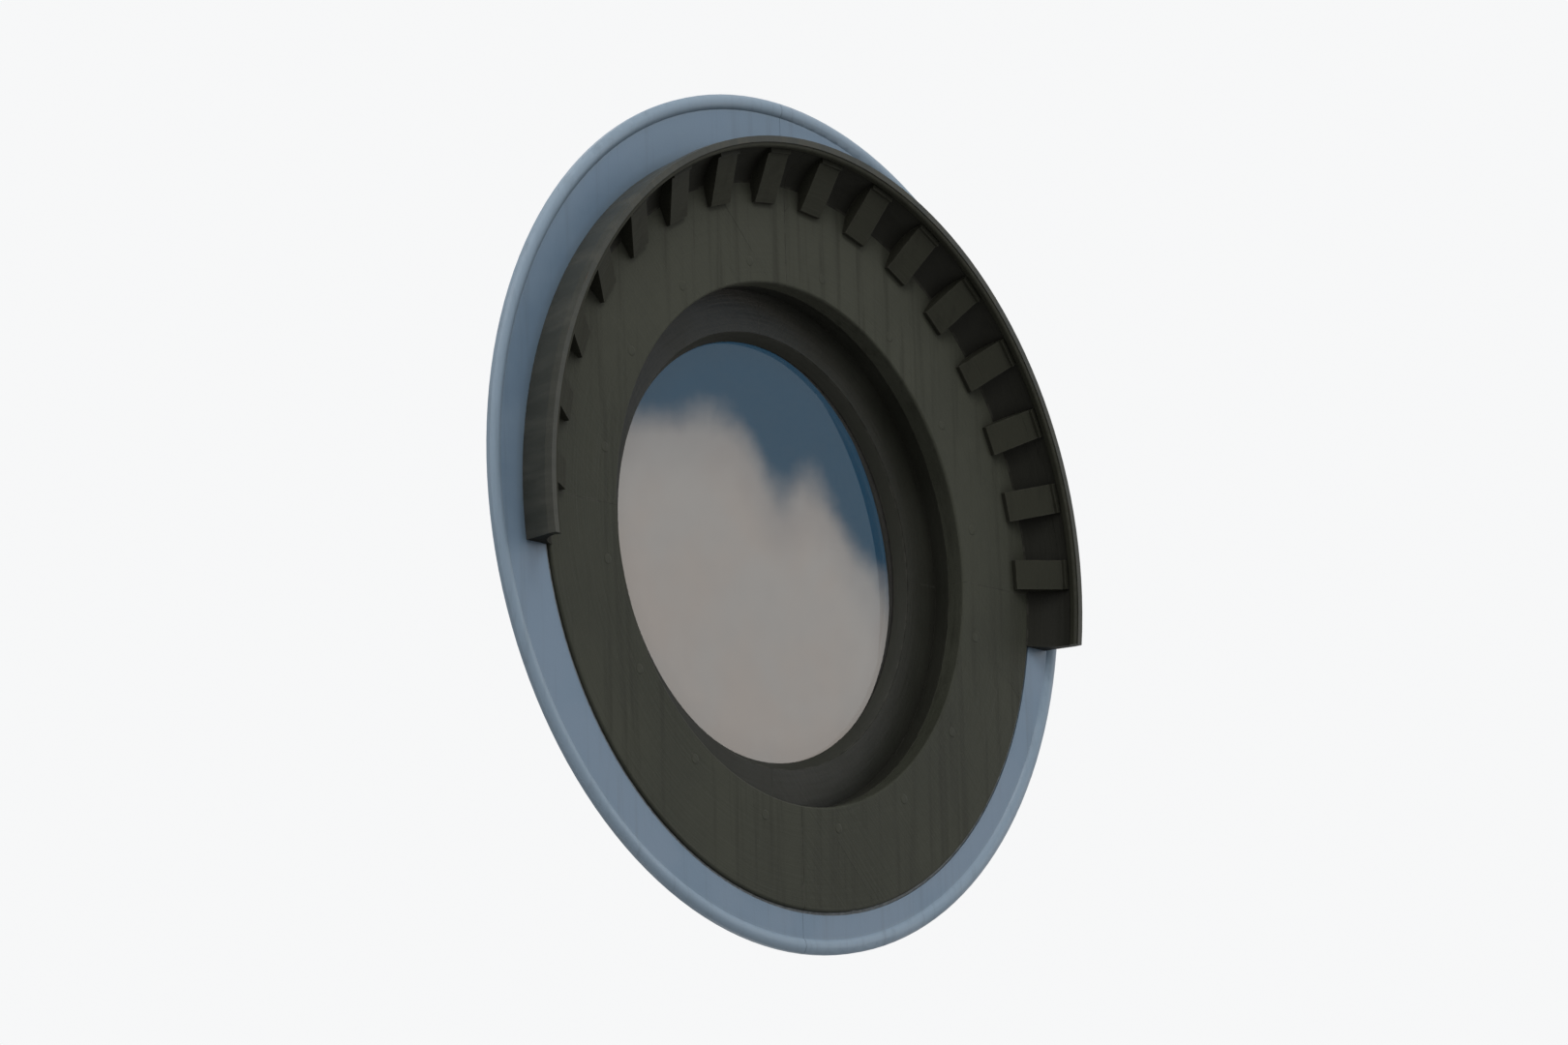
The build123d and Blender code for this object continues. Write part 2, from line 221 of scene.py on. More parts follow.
brushed = {
    "strokeRun": 9.0, "strokeNoise": (1.0, 4.0, 0.6), "strokeShare": 0.22,
    "grainRun": 5.0, "grainFine": 210.0, "grainNoise": (1.0, 6.0, 0.62, 0.35), "checkRange": (0.66, 0.72),
    "fade": {"noise": (5.5, 5.0, 0.6), "range": (0.36, 0.68)}, "fadeShare": 0.75,
    "lighterHeights": (0.02, 0.36),
    "specks": {"noise": (420.0, 2.0, 0.5), "range": (0.62, 0.72)}, "speckShare": 0.35,
    "runs": {"stretch": (75.0, 75.0, 3.5), "noise": (1.0, 4.0, 0.6), "range": (0.48, 0.74)},
    "worn": {"noise": (60.0, 4.0, 0.6), "range": (0.38, 0.62)}, "wornEdge": 0.0022,
    "strokeRelief": 0.55, "grainRelief": 0.5, "checkRelief": 0.35, "reliefReach": 0.0011,
    "roughRange": (0.2, 0.8), "roughSpread": (-0.07, 0.1), "fadeMottle": 0.5, "strokeMottle": 0.5,
    # the share for the other coat's corners and checks: painted shade as well as dirt
    "coatStrokes": 0.6, "coatDirtAndShade": 0.35, "coatEdge": 0.0002,
    "plugRange": (0.0062, 0.0044), "plugRelief": 0.8, "plugShare": 0.35,
}


# Boards sawn straight have a grainTurn. Without one the stock is bent, and its grain follows the ring.
def grainPlace(tree, place, grainTurn):
    run, fine = brushed["grainRun"], brushed["grainFine"]
    if grainTurn is None:
        return ringVector(tree, place, run, fine, fine)
    turned = addNode(tree, "VectorRotate", {"rotation_type": "Y_AXIS"},
                     Vector=place["spot"], Angle=grainTurn)
    return vectorMath(tree, "MULTIPLY", turned.outputs[0], (run, fine, fine)).outputs[0]


# Gives 1 on the filled heads of the screws, which stand a little proud of the board.
def screwPlugs(tree, place, count, boltRadius):
    half = math.pi / count
    turned = plus(tree, place["angle"], 8 * math.pi)         # whole turns, so that it is above 0
    near = minus(tree, calc(tree, "PINGPONG", turned, half), half)
    away = vectorOf(tree, times(tree, near, boltRadius), minus(tree, place["radius"], boltRadius), 0.0)
    return span(tree, lengthOf(tree, away), *brushed["plugRange"])


def paintedWood(name, look, grainTurn=None):
    material, tree, shader = startMaterial(name, Specular_IOR_Level=look["gloss"])
    place = ringPlaces(tree)
    spot = place["spot"]
    strokePlace = ringVector(tree, place, brushed["strokeRun"], look["strokes"], look["strokes"])
    strokes = cloud(tree, strokePlace, *brushed["strokeNoise"])
    grain = cloud(tree, grainPlace(tree, place, grainTurn), *brushed["grainNoise"])
    checks = span(tree, grain, *brushed["checkRange"])
    specks = patches(tree, spot, brushed["specks"])
    runs = rainRuns(tree, spot, brushed["runs"])
    # Painted shade and dirt: darker in corners and recesses, where shade falls and dirt gathers.
    dirtAndShade = corners(tree, look["cornerReach"])
    worn = times(tree, arrises(tree, brushed["wornEdge"]), patches(tree, spot, brushed["worn"]))

    # Lighter towards the top of the piece.
    upward = span(tree, place["height"], *brushed["lighterHeights"], 0.0, look["lighterUp"])
    fade = times(tree, patches(tree, spot, brushed["fade"]), brushed["fadeShare"])
    fade = calc(tree, "MINIMUM", 1.0, plus(tree, fade, upward))
    colour = mixColour(tree, fade, look["paint"], look["faded"])
    colour = layered(tree, colour,
                     (runs, look["runs"], look["grimeAndShade"]),
                     (strokes, brushed["strokeShare"], look["faded"]),
                     (checks, look["checks"], look["grimeAndShade"]),
                     (specks, brushed["speckShare"], look["faded"]),
                     # the corners and recesses: painted shade as well as dirt
                     (dirtAndShade, look["cornerDirtAndShade"], look["grimeAndShade"]),
                     (worn, look["wear"], look["bare"]))

    if look.get("coatPast"):         # another coat on the side that faces the room or the wall
        limit, inner, coat, coatShade = look["coatPast"]
        edge = brushed["coatEdge"]
        other = mixColour(tree, times(tree, strokes, brushed["coatStrokes"]), coat, coatShade)
        # The other coat is darker in its corners and checks: painted shade as well as dirt.
        soiledAndShaded = times(tree, plus(tree, dirtAndShade, checks), brushed["coatDirtAndShade"])
        other = mixColour(tree, soiledAndShaded, other, look["grimeAndShade"])
        covered = times(tree, span(tree, place["depth"], limit - edge, limit + edge),
                        span(tree, place["radius"], inner, inner + 2 * edge))
        colour = mixColour(tree, covered, colour, other)

    mottle = plus(tree, times(tree, fade, brushed["fadeMottle"]),
                  times(tree, strokes, brushed["strokeMottle"]))
    rough = roughBy(tree, mottle, look["rough"], brushed)
    relief = plus(tree, times(tree, strokes, brushed["strokeRelief"]),
                  times(tree, grain, brushed["grainRelief"]))
    relief = minus(tree, relief, times(tree, checks, brushed["checkRelief"]))
    if look.get("pluggedScrews"):
        plug = screwPlugs(tree, place, *look["pluggedScrews"])
        relief = plus(tree, relief, times(tree, plug, brushed["plugRelief"]))
        colour = mixColour(tree, times(tree, plug, brushed["plugShare"]), colour, look["faded"])
    finishMaterial(tree, shader, colour, rough, relief, look["relief"], brushed["reliefReach"])
    return material


# In each look, the grime colour darkens the rain runs and checks, and also the corners and recesses, where
# it is painted shade as well as dirt.
casingLook = {
    "lighterUp": 0.75,
    "paint": (0.0315, 0.0335, 0.0235), "faded": (0.0560, 0.0580, 0.0440), "grimeAndShade": (0.0135, 0.013, 0.009),
    "bare": (0.095, 0.093, 0.078), "gloss": 0.14, "rough": 0.62, "strokes": 230.0, "relief": 0.85,
    "cornerReach": 0.022, "cornerDirtAndShade": 0.8, "runs": 0.45, "checks": 0.6, "wear": 0.5,
    "pluggedScrews": (16, 0.3218), "coatPast": (-0.0040, 0.2986, (0.34, 0.33, 0.30), (0.25, 0.24, 0.21)),
}
# Painted shade: the dentils and caps have the casing's olive, darkened for the shade under the hood.
dentilShadedLook = {
    "lighterUp": 0.0,
    "paint": (0.0235, 0.0240, 0.0165), "faded": (0.035, 0.0355, 0.0255), "grimeAndShade": (0.006, 0.0058, 0.0042),
    "bare": (0.070, 0.068, 0.056), "gloss": 0.12, "rough": 0.66, "strokes": 260.0, "relief": 0.8,
    "cornerReach": 0.030, "cornerDirtAndShade": 0.9, "runs": 0.30, "checks": 0.3, "wear": 0.5,
}
# Painted shade: the hood ring has the casing's olive, darkened for the shade in the cove under the hood.
hoodShadedLook = {
    "lighterUp": 0.0,
    "paint": (0.0120, 0.0120, 0.0086), "faded": (0.0185, 0.0185, 0.0140), "grimeAndShade": (0.004, 0.0037, 0.0027),
    "bare": (0.055, 0.053, 0.043), "gloss": 0.12, "rough": 0.68, "strokes": 260.0, "relief": 0.8,
    "cornerReach": 0.045, "cornerDirtAndShade": 1.0, "runs": 0.35, "checks": 0.3, "wear": 0.45,
}
# The sash and stops are darker than the casing: their own darker paint, and painted shade of the recess
# round the pane.
sashLook = {
    "lighterUp": 0.0,
    "paint": (0.0150, 0.0155, 0.0112), "faded": (0.0220, 0.0225, 0.0168), "grimeAndShade": (0.0065, 0.006, 0.0045),
    "bare": (0.07, 0.068, 0.056), "gloss": 0.2, "rough": 0.50, "strokes": 260.0, "relief": 0.6,
    "cornerReach": 0.016, "cornerDirtAndShade": 0.8, "runs": 0.25, "checks": 0.25, "wear": 0.35,
    "coatPast": (0.0376, 0.2, (0.58, 0.56, 0.50), (0.66, 0.645, 0.59)),
}
insideLook = {
    "lighterUp": 0.0,
    "paint": (0.60, 0.58, 0.52), "faded": (0.67, 0.655, 0.60), "grimeAndShade": (0.33, 0.30, 0.24),
    "bare": (0.5, 0.42, 0.30), "gloss": 0.5, "rough": 0.40, "strokes": 300.0, "relief": 0.30,
    "cornerReach": 0.008, "cornerDirtAndShade": 0.5, "runs": 0.12, "checks": 0.15, "wear": 0.2,
}
puttyLook = {
    "lighterUp": 0.0,
    "paint": (0.018, 0.0185, 0.0135), "faded": (0.027, 0.0275, 0.021), "grimeAndShade": (0.007, 0.0065, 0.005),
    "bare": (0.085, 0.082, 0.07), "gloss": 0.16, "rough": 0.60, "strokes": 120.0, "relief": 0.6,
    "cornerReach": 0.006, "cornerDirtAndShade": 0.6, "runs": 0.2, "checks": 0.6, "wear": 0.3,
}


# Bare wood, for the jamb and the loose tongues

jambLook = {
    "light": (0.50, 0.34, 0.19), "dark": (0.30, 0.17, 0.075), "stain": (0.19, 0.13, 0.075),
    "rings": 95.0, "relief": 0.35, "rough": 0.62,
}
tongueLook = {
    "light": (0.58, 0.44, 0.28), "dark": (0.45, 0.31, 0.17), "stain": (0.35, 0.24, 0.13),
    "rings": 240.0, "relief": 0.25, "rough": 0.55,
}
sawn = {
    "gloss": 0.3, "bendPlace": (3.0, 1.0, 12.0), "bendNoise": (1.0, 3.0, 0.55), "bend": 1.6,
    "ringsOutward": 1.6, "lateRange": (0.15, 0.95), "lateShare": 0.5,
    "fibrePlace": (14.0, 900.0, 900.0), "fibreNoise": (1.0, 5.0, 0.65),
    "poreRange": (0.60, 0.70), "poreShare": 0.35,
    "stain": {"noise": (9.0, 5.0, 0.6), "range": (0.50, 0.75)}, "stainShare": 0.45,
    "fibreRelief": 0.5, "lateRelief": -0.3, "reliefReach": 0.0008,
    "roughRange": (0.3, 0.7), "roughSpread": (-0.08, 0.1),
}


def bareWood(name, look):
    material, tree, shader = startMaterial(name, Specular_IOR_Level=sawn["gloss"])
    place = ringPlaces(tree)
    bend = cloud(tree, ringVector(tree, place, *sawn["bendPlace"]), *sawn["bendNoise"])
    growth = plus(tree, times(tree, place["depth"], look["rings"]), times(tree, bend, sawn["bend"]))
    growth = plus(tree, growth, times(tree, place["radius"], sawn["ringsOutward"] * look["rings"]))
    late = span(tree, calc(tree, "FRACT", growth), *sawn["lateRange"])
    fibres = cloud(tree, ringVector(tree, place, *sawn["fibrePlace"]), *sawn["fibreNoise"])
    pores = span(tree, fibres, *sawn["poreRange"])
    stain = patches(tree, place["spot"], sawn["stain"])
    colour = layered(tree, look["light"],
                     (late, sawn["lateShare"], look["dark"]),
                     (pores, sawn["poreShare"], look["stain"]),
                     (stain, sawn["stainShare"], look["stain"]))
    rough = roughBy(tree, fibres, look["rough"], sawn)
    relief = plus(tree, times(tree, fibres, sawn["fibreRelief"]), times(tree, late, sawn["lateRelief"]))
    finishMaterial(tree, shader, colour, rough, relief, look["relief"], sawn["reliefReach"])
    return material


# Siding trim, pale weathered board. Its outer lip is lighter: partly chalking, and partly a painted
# highlight where the lip catches the light.

trimLook = {
    "body": (0.140, 0.208, 0.288), "lip": (0.235, 0.31, 0.385), "grimeAndShade": (0.085, 0.108, 0.122),
    "lipFrom": 0.466, "lipTo": 0.474, "lipChalkAndHighlightShare": 0.8, "gloss": 0.45, "relief": 0.2,
    "rough": 0.46, "roughRange": (0.0, 1.0), "roughSpread": (-0.05, 0.12),
    "chalk": {"noise": (8.0, 5.0, 0.6), "range": (0.35, 0.7)}, "chalkShare": 0.25,
    "runs": {"stretch": (90.0, 90.0, 4.0), "noise": (1.0, 4.0, 0.6), "range": (0.50, 0.78)},
    "runShare": 0.3, "peelNoise": (380.0, 2.0, 0.5),
    "cornerReach": 0.012, "dirtAndShadeShare": 0.7, "reliefReach": 0.0004,
}


def trimBoard(name, look):
    material, tree, shader = startMaterial(name, Specular_IOR_Level=look["gloss"])
    place = ringPlaces(tree, ring["trimCentre"])
    spot = place["spot"]
    chalk = patches(tree, spot, look["chalk"])
    peel = cloud(tree, spot, *look["peelNoise"])
    runs = rainRuns(tree, spot, look["runs"])
    # Painted shade and dirt: darker in the corners by the casing and hood.
    dirtAndShade = corners(tree, look["cornerReach"])
    # The lighter lip is partly chalking and partly a painted highlight.
    lip = span(tree, place["radius"], look["lipFrom"], look["lipTo"])
    colour = layered(tree, look["body"],
                     (lip, look["lipChalkAndHighlightShare"], look["lip"]),
                     (chalk, look["chalkShare"], look["lip"]),
                     (runs, look["runShare"], look["grimeAndShade"]),
                     (dirtAndShade, look["dirtAndShadeShare"], look["grimeAndShade"]))
    rough = roughBy(tree, chalk, look["rough"], look)
    relief = plus(tree, peel, chalk)
    finishMaterial(tree, shader, colour, rough, relief, look["relief"], look["reliefReach"])
    return material


# Flashing, dark painted sheet with chalked patches and rust along its edges

flashingLook = {
    "paint": (0.046, 0.047, 0.038), "chalked": (0.085, 0.085, 0.073), "rusty": (0.085, 0.040, 0.018),
    "dentPlace": (16.0, 30.0, 30.0), "dentNoise": (1.0, 2.0, 0.4), "chalkPlace": (60.0, 1.0, 9.0),
    "chalk": {"noise": (1.0, 5.0, 0.6), "range": (0.42, 0.75)}, "chalkShare": 0.7,
    "rust": {"noise": (45.0, 4.0, 0.6), "range": (0.55, 0.68)}, "rustEdge": 0.0012, "rustShare": 0.7,
    "gloss": 0.2, "relief": 0.35, "reliefReach": 0.002,
    "rough": 0.48, "roughRange": (0.0, 1.0), "roughSpread": (-0.08, 0.2),
}


def paintedSheet(name, look):
    material, tree, shader = startMaterial(name, Specular_IOR_Level=look["gloss"])
    place = ringPlaces(tree)
    dents = cloud(tree, ringVector(tree, place, *look["dentPlace"]), *look["dentNoise"])
    chalk = patches(tree, ringVector(tree, place, *look["chalkPlace"]), look["chalk"])
    rust = times(tree, arrises(tree, look["rustEdge"]), patches(tree, place["spot"], look["rust"]))
    colour = layered(tree, look["paint"],
                     (chalk, look["chalkShare"], look["chalked"]),
                     (rust, look["rustShare"], look["rusty"]))
    rough = roughBy(tree, chalk, look["rough"], look)
    finishMaterial(tree, shader, colour, rough, dents, look["relief"], look["reliefReach"])
    return material


# Window glass with a dark tint that is painted shade, for the unlit room behind it, and a thin film of
# dust that is thicker at the rim.
# Its tint swallows what the back face mirrors, so a higher index lets the front face mirror for both.

paneLook = {
    # The tint is painted shade: it darkens what is seen through the pane, as an unlit room would.
    "tint": (0.055, 0.058, 0.058), "rough": 0.012, "mirrorIndex": 1.8,
    "dust": (0.21, 0.20, 0.185), "dustShare": 0.10, "rimFrom": 0.205, "rimTo": 0.241, "rimShare": 0.9,
    "film": {"noise": (30.0, 3.0, 0.5), "range": (0.4, 0.8)}, "filmShare": 0.35,
}


def windowGlass(name, look):
    material, tree, shader = startMaterial(name, Transmission_Weight=1.0, IOR=look["mirrorIndex"],
                                           Base_Color=look["tint"], Roughness=look["rough"])
    place = ringPlaces(tree)
    film = patches(tree, place["spot"], look["film"])
    rim = span(tree, place["radius"], look["rimFrom"], look["rimTo"])
    dust = plus(tree, times(tree, film, look["filmShare"]), times(tree, rim, look["rimShare"]))
    haze = addNode(tree, "BsdfDiffuse", Color=look["dust"])
    share = times(tree, dust, look["dustShare"])
    showShader(tree, mixShader(tree, share, shader.outputs[0], haze.outputs[0]))
    return material


# Small metal, rubber and sealant pieces, and the filler in the joints

smallLooks = {
    "pointZinc": {"colour": (0.50, 0.51, 0.52), "worn": (0.33, 0.34, 0.35), "rough": 0.42, "metal": 1.0},
    "screwSteel": {"colour": (0.52, 0.50, 0.46), "worn": (0.34, 0.32, 0.29), "rough": 0.34, "metal": 1.0},
    "blockRubber": {"colour": (0.025, 0.025, 0.025), "worn": (0.045, 0.045, 0.045), "rough": 0.7},
    "jointSealant": {"colour": (0.22, 0.24, 0.25), "worn": (0.15, 0.16, 0.165), "rough": 0.6,
                     "mottleNoise": (120.0, 5.0, 0.6), "relief": 0.5},
    "jointOldPaint": {"colour": (0.017, 0.017, 0.0125), "worn": (0.027, 0.027, 0.021), "rough": 0.75},
    "jointTrimFill": {"colour": (0.075, 0.10, 0.125), "worn": (0.12, 0.15, 0.18), "rough": 0.7},
}
smallUsual = {               # holds where a piece's own look says nothing else
    "metal": 0.0, "mottleNoise": (300.0, 5.0, 0.6), "relief": 0.2, "reliefReach": 0.0003,
    "wornRange": (0.4, 0.65), "roughRange": (0.3, 0.7), "roughSpread": (-0.08, 0.12),
}


def plainSmall(name):
    look = {**smallUsual, **smallLooks[name]}
    material, tree, shader = startMaterial(name, Metallic=look["metal"])
    mottle = cloud(tree, addNode(tree, "TexCoord").outputs["Object"], *look["mottleNoise"])
    tint = mixColour(tree, span(tree, mottle, *look["wornRange"]), look["colour"], look["worn"])
    rough = roughBy(tree, mottle, look["rough"], look)
    finishMaterial(tree, shader, tint, rough, mottle, look["relief"], look["reliefReach"])
    return material


def putOn(material, *names):
    for name in names:
        mesh = cadNodes[name].data
        mesh.materials.clear()
        mesh.materials.append(material)


quarters = {"top_right": 45, "bottom_right": 135, "bottom_left": 225, "top_left": 315}
for name, middle in quarters.items():
    turn = math.radians(middle)
    quarterName = name.title().replace("_", "")
    putOn(paintedWood("casingPaint" + quarterName, casingLook, turn), "casing_" + name)
    putOn(paintedWood("sashPaint" + quarterName, sashLook, turn), "sash_rim_" + name)
putOn(paintedWood("stopPaint", sashLook), "outer_stop_left", "outer_stop_right")
putOn(paintedWood("insidePaint", insideLook), "inner_stop_left", "inner_stop_right")
putOn(paintedWood("puttyPaint", puttyLook), "putty_bead")
# The hood ring, dentils and caps are darker than the casing: painted shade under the hood.
putOn(paintedWood("hoodPaintShaded", hoodShadedLook), "hood_ring_left", "hood_ring_right")
dentilsAndCaps = [name for name in cadNodes if name.startswith(("dentil_", "hood_cap"))]
putOn(paintedWood("dentilPaintShaded", dentilShadedLook), *dentilsAndCaps)
putOn(bareWood("jambPine", jambLook), "jamb_left", "jamb_right", "jamb_top", "jamb_bottom")
putOn(bareWood("tongueBeech", tongueLook), "jamb_tongues", "sash_tongues", "casing_tongues")
putOn(trimBoard("trimBoardPale", trimLook), "trim_left", "trim_right")
putOn(paintedSheet("flashingPaint", flashingLook), "hood_flashing")
putOn(windowGlass("paneGlass", paneLook), "glass_pane")
putOn(plainSmall("pointZinc"), "glazing_points")
putOn(plainSmall("screwSteel"), "stop_screws", "casing_screws")
putOn(plainSmall("blockRubber"), "setting_blocks")
putOn(plainSmall("jointSealant"), "sealant_bead")
for piece in cadNodes.values():
    for face in piece.data.polygons:
        face.material_index = 0
print("finishes put on", len(bpy.data.materials), "materials")


# Filler in the butt joints: glue and old paint that bridge the hairline gaps between the boards

def addPiece(name, points, faces, material):
    mesh = bpy.data.meshes.new(name)
    mesh.from_pydata(points, [], faces)
    mesh.materials.append(material)
    made = bpy.data.objects.new(name, mesh)
    scene.collection.objects.link(made)
    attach(made, "root")


# Outlines of the fillers as (radius, depth). Each filler is as wide as its joint, less a hair. A joint
# that opens outwards has a spread, half its width for each metre of radius, and a parallel one a half.

boardFill = {
    "spread": 0.00069,
    "outlines": [
        [(0.2972, -0.0195), (0.3000, -0.0217), (0.4119, -0.0217), (0.4147, -0.0195),
         (0.4147, -0.0139), (0.2972, -0.0139)],
        [(0.2972, -0.0081), (0.4147, -0.0081), (0.4147, -0.0004), (0.3912, -0.0004), (0.3878, -0.0034),
         (0.3242, -0.0034), (0.3208, -0.0004), (0.2972, -0.0004)],
    ],
}
sashFill = {
    "spread": 0.000885,
    "outlines": [
        [(0.2492, 0.0212), (0.2498, 0.0206), (0.3072, 0.0206), (0.3078, 0.0212),
         (0.3078, 0.0350), (0.2492, 0.0350)],
    ],
}
trimFill = {
    "half": 0.000244,
    "outlines": [
        [(0.4188, -0.0187), (0.5090, -0.0187), (0.5090, -0.0142), (0.4188, -0.0142)],
        [(-0.4635, -0.0187), (-0.4188, -0.0187), (-0.4188, -0.0142), (-0.4635, -0.0142)],
    ],
}
hoodFill = {
    "spread": 0.00055,
    "outlines": [
        [(0.4170, -0.0195), (0.4474, -0.0195), (0.4545, -0.0575), (0.4468, -0.0575), (0.4425, -0.0465),
         (0.4352, -0.0345), (0.4250, -0.0265), (0.4170, -0.0232)],
        [(0.4475, -0.0584), (0.4547, -0.0584), (0.4547, -0.0668), (0.4475, -0.0668)],
    ],
}


def halfWidth(fill, radius):
    return fill.get("half", 0.0) + radius * fill.get("spread", 0.0)


# Gives the outline on both sides of the joint's plane, and the faces that close it to a solid.
def slab(outline, fill, out, across):
    count = len(outline)
    points = [out * radius + across * (side * halfWidth(fill, radius)) + Vector((0, depth, 0))
              for side in (-1, 1) for radius, depth in outline]
    faces = [tuple(range(count))[::-1], tuple(range(count, 2 * count))]
    faces += [(i, (i + 1) % count, count + (i + 1) % count, count + i) for i in range(count)]
    return points, faces


# Each turn is a joint's quarter turns from 12 o'clock. A radius below 0 is on the opposite side.
def jointFill(name, fill, material, turns):
    points, faces = [], []
    for turn in turns:
        angle = math.pi / 2 * turn
        across = Vector((math.cos(angle), 0, -math.sin(angle)))
        out = Vector((math.sin(angle), 0, math.cos(angle)))
        for outline in fill["outlines"]:
            more, sides = slab(outline, fill, out, across)
            faces += [tuple(i + len(points) for i in side) for side in sides]
            points += more
    addPiece(name, points, faces, material)


oldPaint = plainSmall("jointOldPaint")
jointFill("casingJointFill", boardFill, oldPaint, range(4))
jointFill("sashJointFill", sashFill, oldPaint, range(4))
jointFill("hoodJointFill", hoodFill, oldPaint, [0])
jointFill("trimJointFill", trimFill, plainSmall("jointTrimFill"), [0])


# Flat-headed screws of the inner stop, with a cross recess in the head

screwShape = {
    "count": 8, "seat": 0.297, "sunk": 0.00005, "tip": 0.327, "depthPlace": 0.0641, "turnEach": 0.7,
    "headRadius": 0.0039, "headHeight": 0.0024, "rim": 0.0003, "coneFrom": 0.55,
    "shankRadius": 0.00195, "pointRadius": 0.0004, "pointLength": 0.004,
    "slotHalf": 0.00042, "slotReach": 0.0021, "slotDepth": 0.0012, "slotTaper": 0.72,
    "steps": 32, "sharpDegrees": 35,
}


# Gives the outline of the cross: one arm's points, turned to each of four sides.
def crossRecess(look, shrink=1.0):
    half = look["slotHalf"] * shrink
    reach = look["slotReach"] * shrink
    arm = [(reach, -half), (reach, half), (half, half)]
    turns = ((1, 0), (0, 1), (-1, 0), (0, -1))       # cosine and sine
    return [(x * c - y * s, x * s + y * c) for c, s in turns for x, y in arm]


# The screw runs along +Z, from the face of its head at 0 to its tip.
def screwMesh(look):
    body = bmesh.new()
    under = look["headHeight"]
    tip = look["tip"] - look["seat"]
    profile = [(look["headRadius"] - look["rim"], 0.0), (look["headRadius"], look["rim"]),
               (look["headRadius"], under * look["coneFrom"]), (look["shankRadius"], under),
               (look["shankRadius"], tip - look["pointLength"]), (look["pointRadius"], tip)]
    angles = [2 * math.pi * i / look["steps"] for i in range(look["steps"])]
    loops = [[body.verts.new((radius * math.cos(t), radius * math.sin(t), z)) for t in angles]
             for radius, z in profile]
    for first, second in zip(loops, loops[1:]):
        for i in range(look["steps"]):
            j = (i + 1) % look["steps"]
            body.faces.new((first[i], first[j], second[j], second[i]))
    body.faces.new(loops[-1][::-1])
    mouth = [body.verts.new((x, y, 0.0)) for x, y in crossRecess(look)]
    floor = [body.verts.new((x, y, look["slotDepth"])) for x, y in crossRecess(look, look["slotTaper"])]
    for i in range(len(mouth)):
        j = (i + 1) % len(mouth)
        body.faces.new((mouth[j], mouth[i], floor[i], floor[j]))
    body.faces.new(floor)
    body.verts.index_update()
    rims = [body.edges.get(pair) for outline in (loops[0], mouth)
            for pair in zip(outline, outline[1:] + outline[:1])]
    bmesh.ops.triangle_fill(body, use_beauty=True, use_dissolve=False, edges=rims)
    bmesh.ops.recalc_face_normals(body, faces=body.faces)
    mesh = bpy.data.meshes.new("stopScrew")
    body.to_mesh(mesh)
    body.free()
    mesh.set_sharp_from_angle(angle=math.radians(look["sharpDegrees"]))
    return mesh


def stopScrews(look, material):
    mesh = screwMesh(look)
    mesh.materials.append(material)
    for number in range(look["count"]):
        angle = 2 * math.pi * (number + 0.5) / look["count"]
        out = Vector((math.sin(angle), 0, math.cos(angle)))
        made = bpy.data.objects.new(f"stopScrew{number + 1}", mesh)
        spin = Matrix.Rotation(number * look["turnEach"], 3, "Z")
        turned = out.to_track_quat("Z", "Y").to_matrix() @ spin
        spot = out * (look["seat"] + look["sunk"]) + Vector((0, look["depthPlace"], 0))
        made.matrix_world = Matrix.Translation(spot) @ turned.to_4x4()
        scene.collection.objects.link(made)
        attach(made, "root")
        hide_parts("stop_screws")


stopScrews(screwShape, bpy.data.materials["screwSteel"])
print("fillers and screws made")


# Camera at the photograph's place and direction, with a longer lens so that the window fills the frame

cameraPlace = {
    "spot": (-7.996, -6.774, -2.276), "aim": (-0.014, -0.020, 0.023), "rollDegrees": -1.66,
    "sensor": 36.0, "photoLens": 57.9, "closer": 3.8, "clipEnd": 200.0,
}


def placeCamera(place):
    data = bpy.data.cameras.new("photoCamera")
    data.sensor_width = place["sensor"]
    data.lens = place["photoLens"] * place["closer"]
    data.clip_end = place["clipEnd"]
    camera = bpy.data.objects.new("photoCamera", data)
    scene.collection.objects.link(camera)
    spot = Vector(place["spot"])
    aim = (Vector(place["aim"]) - spot).to_track_quat("-Z", "Y").to_matrix()
    roll = Matrix.Rotation(math.radians(place["rollDegrees"]), 3, "Z")
    camera.matrix_world = Matrix.Translation(spot) @ (aim @ roll).to_4x4()
    scene.camera = camera


placeCamera(cameraPlace)


# Plain pale room and soft studio light. Each lamp is a disk (name, place, size, power).

studio = {
    "floorDrop": 3.9, "floorSize": 60.0, "floorColour": (0.30, 0.30, 0.30), "floorRough": 0.8,
    "floorPale": 0.97, "roomPale": 1.0, "backdrop": (0.93, 0.935, 0.94),
    "domeFrom": -0.2, "domeTo": 0.7, "domeLow": 0.10, "domeHigh": 0.95,
    "lamps": [("keyLamp", (-1.4, -3.8, 5.2), 3.0, 120.0), ("leftLamp", (-5.6, -3.2, 2.6), 3.6, 60.0),
              ("rightLamp", (5.2, -3.8, 2.0), 3.2, 25.0), ("roomLamp", (1.5, 5.0, 2.4), 3.2, 110.0)],
}


def quad(name, middle, right, up, material):
    mesh = bpy.data.meshes.new(name)
    points = [middle - right - up, middle + right - up, middle + right + up, middle - right + up]
    mesh.from_pydata(points, [], [(0, 1, 2, 3)])
    mesh.materials.append(material)
    made = bpy.data.objects.new(name, mesh)
    scene.collection.objects.link(made)


# Gives 1 for camera, glossy and transmission rays.
def seenPlainly(tree):
    rays = addNode(tree, "LightPath")
    mirrored = calc(tree, "MAXIMUM", rays.outputs["Is Glossy Ray"], rays.outputs["Is Transmission Ray"])
    return calc(tree, "MAXIMUM", rays.outputs["Is Camera Ray"], mirrored)


